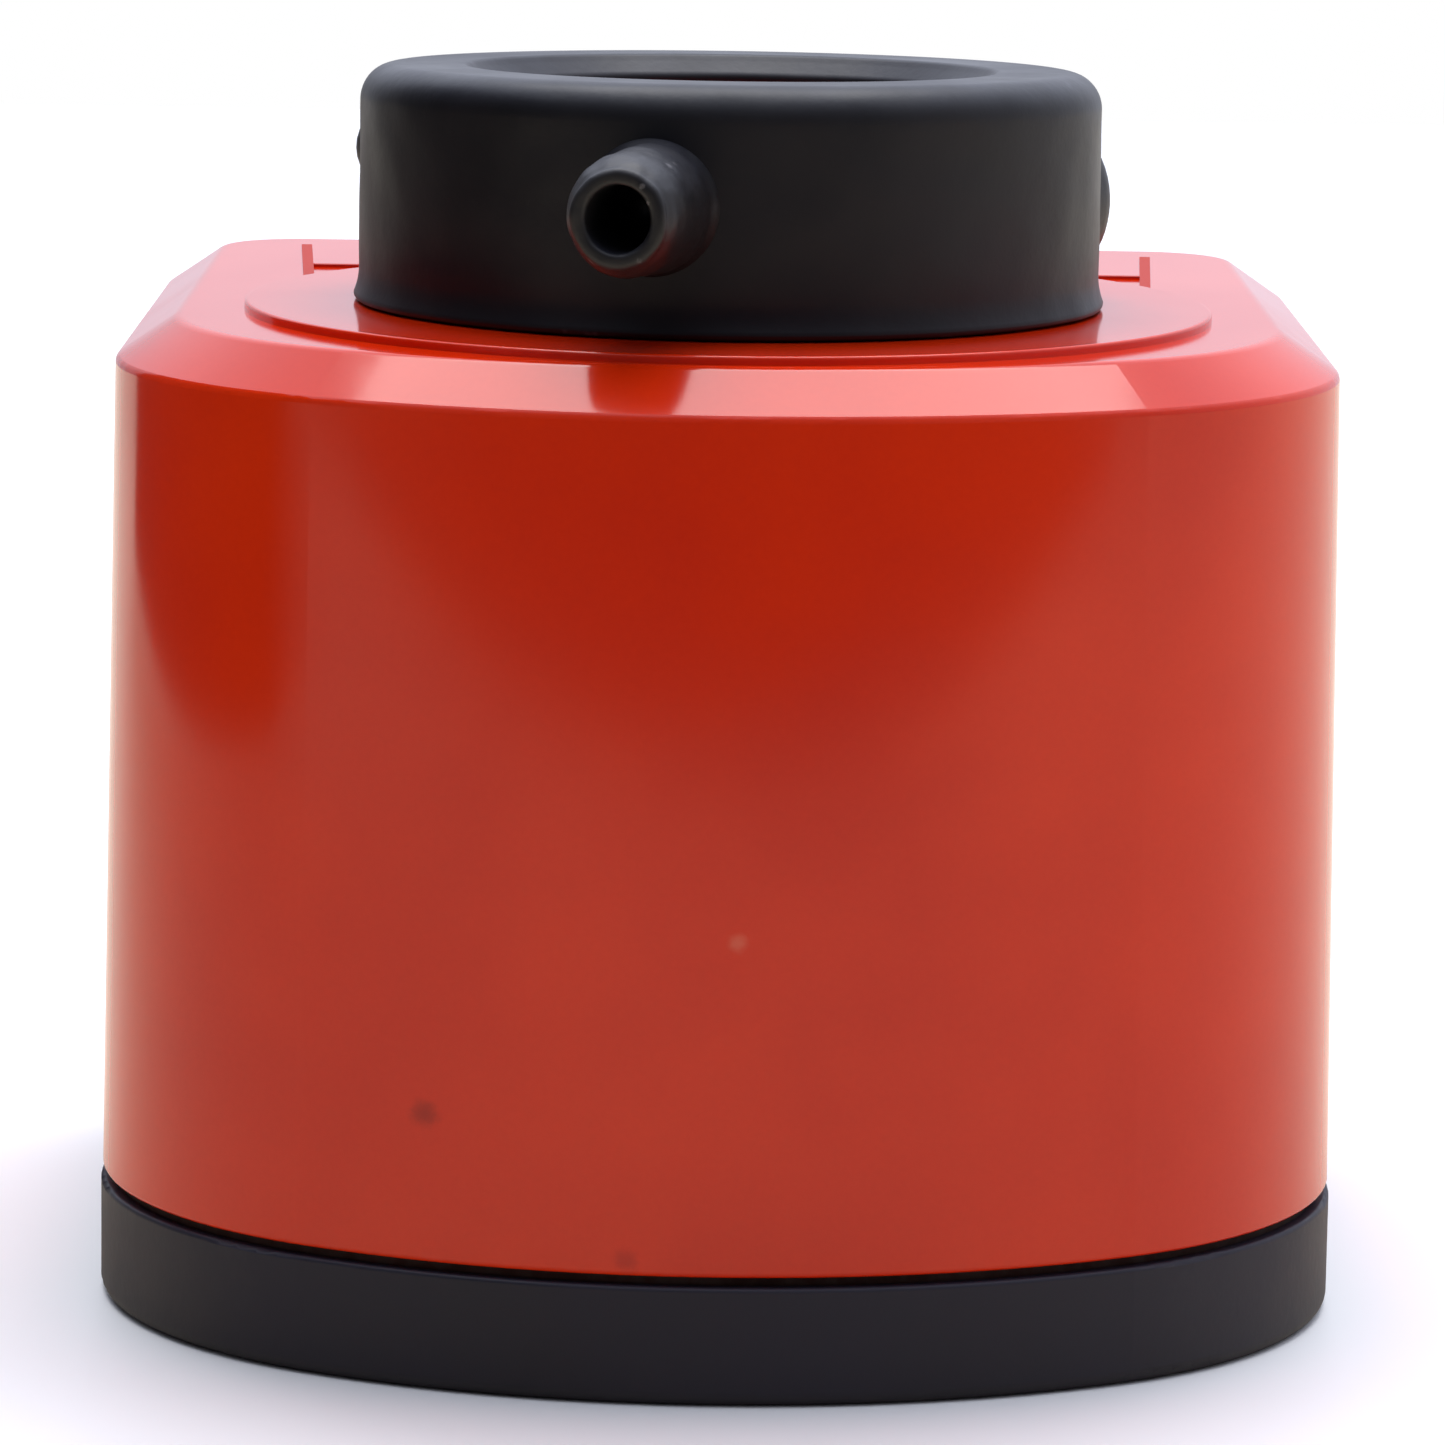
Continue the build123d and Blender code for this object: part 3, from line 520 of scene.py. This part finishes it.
def collarProfile():
    look = collarLook
    low, high = collarLow.z, collarHigh.z
    edge, lead = look["edgeRadius"], look["leadIn"]
    flare, turned = look["footFlare"], look["footRound"]
    foot = low + look["footHeight"]
    lipBottom = high - look["lipDepth"]
    heel = collarRadius + flare - turned
    brow = boreRadius + lead  # where the slope into the bore starts
    nick = 0.0001  # tiny bevel on the hidden corners
    points = [(innerRadius, lipBottom), (innerRadius, low + nick)]
    points += spacedPoints((innerRadius + nick, low), (heel, low), 6)
    points += arcPoints((heel, low + turned), turned, -60, 0, 4)
    for step in range(1, 9):  # the foot's flare fades upwards
        share = step / 8
        rise = (foot - low - turned) * share
        points.append((collarRadius + flare * (1 - share) ** 2, low + turned + rise))
    points += spacedPoints((collarRadius, foot), (collarRadius, high - edge), 18)[1:]
    points += arcPoints((collarRadius - edge, high - edge), edge, 0, 90, 14)[1:]
    points += spacedPoints((collarRadius - edge, high), (brow + 0.0006, high), 6)[1:]
    points += arcPoints((brow + 0.0005, high - 0.0005), 0.0005, 90, 135, 4)
    points += spacedPoints((brow, high - 0.0003), (boreRadius + nick, high - lead - nick), 6)
    points += spacedPoints((boreRadius, high - lead - 0.0003), (boreRadius, lipBottom + nick), 5)
    points.append((boreRadius + nick, lipBottom))
    return points


def leanBack(place, tilt, low, high):
    # the lean grows from the foot to the top
    share = max(0.0, min(1.0, (place.z - low) / (high - low)))
    rise = math.tan(math.radians(tilt)) * (neckY - place.y) * share
    return Vector((place.x, place.y, place.z + rise))


def roughen(place, outward, amount, size):
    shift = noise.noise(place / size) + 0.5 * noise.noise(place / (size * 0.37))
    return place + outward * shift * amount


collarClearance = 0.00008  # between the deck and the collar's foot
padLook = (
    # degrees from the front, rise above the deck, half height, how far it stands proud
    (103.0, 0.0054, 0.0033, 0.0012),
    (-102.1, 0.0078, 0.0018, 0.0008),
)


def padHeight(angle, z, low):
    # a smooth lens on the ring's side
    best = 0.0
    for turn, rise, half, proud in padLook:
        apart = (angle - math.radians(turn) + math.pi) % (2 * math.pi) - math.pi
        far = math.hypot(apart * collarRadius, z - (low - collarClearance + rise)) / half
        if far < 1:
            best = max(best, proud * (1 - far ** 2) ** 0.8)
    return best


def meshPiece(name, vertices, faces, material):
    mesh = bpy.data.meshes.new(name)
    mesh.from_pydata(vertices, [], faces)
    mesh.update()
    mesh.shade_smooth()
    mesh.materials.append(material)
    piece = bpy.data.objects.new(name, mesh)
    scene.collection.objects.link(piece)
    return piece


def makeCollar():
    look = collarLook
    profile = collarProfile()
    around = look["rings"]
    vertices, faces = [], []
    for index in range(around):
        angle = 2 * math.pi * index / around  # from the front, towards +X
        outward = Vector((math.sin(angle), -math.cos(angle), 0))
        for radius, z in profile:
            place = turnAxis + outward * radius + Vector((0, 0, z))
            if radius > collarRadius - look["skin"]:
                place += outward * padHeight(angle, z, collarLow.z)
                place = roughen(place, outward, look["wobble"], look["wobbleSize"])
            vertices.append(leanBack(place, look["tilt"], collarLow.z, collarHigh.z))
    count = len(profile)
    for index in range(around):
        after = (index + 1) % around
        for step in range(count):
            beyond = (step + 1) % count
            faces.append((index * count + step, after * count + step,
                          after * count + beyond, index * count + beyond))
    ring = meshPiece("collarRing", vertices, faces, slotMaterials["collar"])
    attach(ring, "collar")
    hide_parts("neck_collar")


makeCollar()
print("collar made")


# side nipple: a short hollow cone with a soft root and a worn, uneven rim
nippleLook = {
    "turn": -12.1,  # degrees from the front
    "height": 0.0595,
    "reach": 0.0275,  # tip, from the neck's axis
    "rootRadius": 0.00322,
    "shoulderRadius": 0.00303,
    "tipRadius": 0.0025,
    "shoulderFrom": 0.6,  # share of the length where the shoulder starts to turn in
    "hole": 0.00165,
    "holeDepth": 0.0062,
    "rimRound": 0.0004,
    "lumps": 0.00009,
    "lumpSize": 0.0023,
    "rings": 128,
}


def nippleProfile():
    look = nippleLook
    root, tip, rim = look["rootRadius"], look["tipRadius"], look["rimRound"]
    hole, shoulder, turning = look["hole"], look["shoulderRadius"], look["shoulderFrom"]
    start = collarRadius - 0.0007  # sunk into the ring's wall
    neck = collarRadius + 0.0006  # where the soft root has ended
    end = look["reach"]
    points = [(start - 0.0008, root + 0.0006), (start, root + 0.0005)]
    points += [(collarRadius, root + 0.0002), (collarRadius + 0.0003, root + 0.00005)]
    length = end - rim - neck
    for step in range(33):
        share = step / 32
        # nearly straight from the root, then a soft shoulder down to the rim
        turned = max(0.0, (share - turning) / (1 - turning))
        radius = root + (shoulder - root) * min(share / turning, 1.0)
        pulled = (1 - math.sqrt(1 - 0.92 * turned ** 2)) / (1 - math.sqrt(0.08))
        points.append((neck + length * share, radius - (shoulder - tip) * pulled))
    inner = rim * 0.7
    outside = arcPoints((tip - rim, end - rim), rim, 0, 90, 6)[1:]
    inside = arcPoints((hole + inner, end - inner), inner, 90, 180, 5)
    points += [(along, radius) for radius, along in outside + inside]
    points += spacedPoints((end - 0.0008, hole), (end - look["holeDepth"], hole * 0.97), 8)
    return points


def makeNipple():
    look = nippleLook
    profile = nippleProfile()
    turn = math.radians(look["turn"])
    outward = Vector((math.sin(turn), -math.cos(turn), 0))
    across = Vector((math.cos(turn), math.sin(turn), 0))
    up = Vector((0, 0, 1))
    centre = turnAxis + up * look["height"]
    around = look["rings"]
    vertices, faces = [], []
    for index in range(around):
        angle = 2 * math.pi * index / around
        spoke = across * math.cos(angle) + up * math.sin(angle)
        for along, radius in profile:
            place = centre + outward * along + spoke * radius
            if radius > look["hole"] * 1.02 and along > collarRadius:
                place = roughen(place, spoke, look["lumps"], look["lumpSize"])
                place = roughen(place, outward, look["lumps"] * 0.5, look["lumpSize"])
            vertices.append(leanBack(place, collarLook["tilt"], collarLow.z, collarHigh.z))
    count = len(profile)
    for index in range(around):
        after = (index + 1) % around
        for step in range(count - 1):
            faces.append((index * count + step, index * count + step + 1,
                          after * count + step + 1, after * count + step))
    faces.append(tuple(index * count + count - 1 for index in range(around)))  # hole's floor
    faces.append(tuple(index * count for index in reversed(range(around))))  # hidden back
    stub = meshPiece("nippleStub", vertices, faces, slotMaterials["nipple"])
    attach(stub, "collar")
    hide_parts("side_nipple")


makeNipple()
print("nipple made")


# valve springs, fixed at their upper end: each is copied into its own mesh and hung on the housing
springLooks = {
    # node that it stands for: name, joint, lift in metres
    "check_spring": ("checkSpringCoil", "check_lift", 0.0018),
    "relief_spring": ("reliefSpringCoil", "relief_lift", 0.003),
}


def makeSpring(node, name, joint, lift):
    coil = bpy.data.objects.new(name, nodes[node].data.copy())
    scene.collection.objects.link(coil)
    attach(coil, "housing")
    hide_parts(node)
    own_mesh(coil)


for springNode, springSettings in springLooks.items():
    makeSpring(springNode, *springSettings)
print("springs made")


# floor, lights and camera
stageLook = {
    "floorHeight": coverLow.z,
    "floorSize": 1.6,
    "floorColour": (1.0, 1.0, 1.0, 1),
    "bounceColour": (0.82, 0.72, 0.54, 1),  # what the floor throws back at the object
    "floorRoughness": 0.6,
}


def makeFloor():
    look = stageLook
    half = look["floorSize"] / 2
    mesh = bpy.data.meshes.new("floor")
    corners = [(-half, -half, 0), (half, -half, 0), (half, half, 0), (-half, half, 0)]
    mesh.from_pydata(corners, [], [(0, 1, 2, 3)])
    floor = bpy.data.objects.new("floor", mesh)
    floor.location.z = look["floorHeight"]
    scene.collection.objects.link(floor)
    material, tree, shader = newMaterial("paleFloor")
    direct = addNode(tree, "ShaderNodeLightPath", (-600, 200)).outputs["Is Camera Ray"]
    colour = mixColour(tree, direct, look["bounceColour"], look["floorColour"], place=(-300, 200))
    tree.links.new(colour, shader.inputs["Base Color"])
    shader.inputs["Roughness"].default_value = look["floorRoughness"]
    mesh.materials.append(material)


makeFloor()

lightLook = {
    "name": "topSheet",
    "place": (0.02, 0.20, 0.80),
    "aim": (0.02, 0.02, 0.05),
    "size": (0.66, 0.50),  # width and length
    "watts": 4.6,
    "colour": (1.0, 0.985, 0.975),
}


def makeLight():
    look = lightLook
    data = bpy.data.lights.new(look["name"], "AREA")
    data.shape = "RECTANGLE"
    data.size = look["size"][0]
    data.size_y = look["size"][1]
    data.energy = look["watts"]
    data.color = look["colour"]
    lamp = bpy.data.objects.new(look["name"], data)
    lamp.location = look["place"]
    way = Vector(look["aim"]) - Vector(look["place"])
    lamp.rotation_euler = way.to_track_quat("-Z", "Y").to_euler()
    scene.collection.objects.link(lamp)


makeLight()

roomLook = {
    "seen": (1.0, 1.0, 1.0, 1),  # the plain backdrop
    "front": (0.07, 0.072, 0.09, 1),
    "side": (0.55, 0.56, 0.64, 1),
    "back": (0.81, 0.85, 0.98, 1),
    "top": (1.30, 1.38, 1.62, 1),
    "sideFrom": 0.42,  # share of the way from front to back
    "topWay": (0, 0.4, 0.917),  # the bright ceiling lies a little behind
    "leftShare": 0.4,  # how much light the left side keeps
    "ceiling": (0.42, 0.85),  # where the overhead light starts and is full
}


def makeRoom():
    look = roomLook
    world = bpy.data.worlds.new("softRoom")
    scene.world = world
    world.use_nodes = True
    tree = world.node_tree
    background = tree.nodes["Background"]
    way = addNode(tree, "ShaderNodeTexCoord", (-1000, 0)).outputs["Generated"]
    parts = addNode(tree, "ShaderNodeSeparateXYZ", (-800, 0))
    tree.links.new(way, parts.inputs[0])
    along = rangeNode(tree, parts.outputs["Y"], -1.0, 1.0, place=(-600, 0))
    ramp = addNode(tree, "ShaderNodeValToRGB", (-400, 0))
    stops = ramp.color_ramp.elements
    stops[0].color = look["front"]
    stops[1].color = look["back"]
    stops.new(look["sideFrom"]).color = look["side"]
    tree.links.new(along, ramp.inputs["Fac"])
    leftness = rangeNode(tree, parts.outputs["X"], -0.9, 0.0, 1.0 - look["leftShare"], 0.0,
                         place=(-600, -200))
    sides = mixColour(tree, leftness, ramp.outputs["Color"], (0, 0, 0, 1), place=(-200, 0))
    rise = addNode(tree, "ShaderNodeVectorMath", (-800, -400), operation="DOT_PRODUCT")
    tree.links.new(way, rise.inputs[0])
    rise.inputs[1].default_value = look["topWay"]
    overhead = rangeNode(tree, rise.outputs["Value"], *look["ceiling"], smooth=True,
                         place=(-600, -400))
    sky = mixColour(tree, overhead, sides, look["top"], place=(0, 0))
    direct = addNode(tree, "ShaderNodeLightPath", (-400, 300)).outputs["Is Camera Ray"]
    seen = mixColour(tree, direct, sky, look["seen"], place=(200, 0))
    tree.links.new(seen, background.inputs["Color"])


makeRoom()

flagLooks = {
    # dark cards that shape the reflections: corners of each, going round
    "frontFlag": ((-0.5, -1.2, 0.002), (0.5, -1.2, 0.002),
                  (0.5, -0.27, 0.002), (-0.5, -0.27, 0.002)),
    "leftFlag": ((-0.22, -0.17, 0.003), (-0.22, 0.20, 0.003),
                 (-0.22, 0.20, 0.30), (-0.22, -0.17, 0.30)),
}
flagColour = (0.03, 0.03, 0.035, 1)
flagRoughness = 0.9
flagFades = {"leftFlag": (-0.17, -0.07)}  # Y where it starts and is full, for a soft edge


def makeFlag(name, corners):
    mesh = bpy.data.meshes.new(name)
    mesh.from_pydata(corners, [], [(0, 1, 2, 3)])
    flag = bpy.data.objects.new(name, mesh)
    flag.location.z = stageLook["floorHeight"]
    flag.visible_camera = False
    flag.visible_shadow = False
    scene.collection.objects.link(flag)
    material, tree, shader = newMaterial(name + "Cloth")
    shader.inputs["Base Color"].default_value = flagColour
    shader.inputs["Roughness"].default_value = flagRoughness
    if name in flagFades:
        where = addNode(tree, "ShaderNodeTexCoord", (-800, 0)).outputs["Object"]
        parts = addNode(tree, "ShaderNodeSeparateXYZ", (-600, 0))
        tree.links.new(where, parts.inputs[0])
        fade = rangeNode(tree, parts.outputs["Y"], *flagFades[name], smooth=True, place=(-400, 0))
        tree.links.new(fade, shader.inputs["Alpha"])
    mesh.materials.append(material)


for flagName, flagCorners in flagLooks.items():
    makeFlag(flagName, flagCorners)

cameraLook = {
    "place": (-0.00223, -0.38073, 0.0924),
    "turn": (80.585, -0.890, -0.199),  # degrees about X, Y and Z
    "lens": 175.2,
}
cameraData = bpy.data.cameras.new("camera")
cameraData.lens = cameraLook["lens"]
cameraData.sensor_width = 36.0
cameraData.clip_start = 0.01
cameraData.clip_end = 20.0
camera = bpy.data.objects.new("camera", cameraData)
camera.location = cameraLook["place"]
camera.rotation_euler = [math.radians(angle) for angle in cameraLook["turn"]]
scene.collection.objects.link(camera)
scene.camera = camera
print("stage ready")
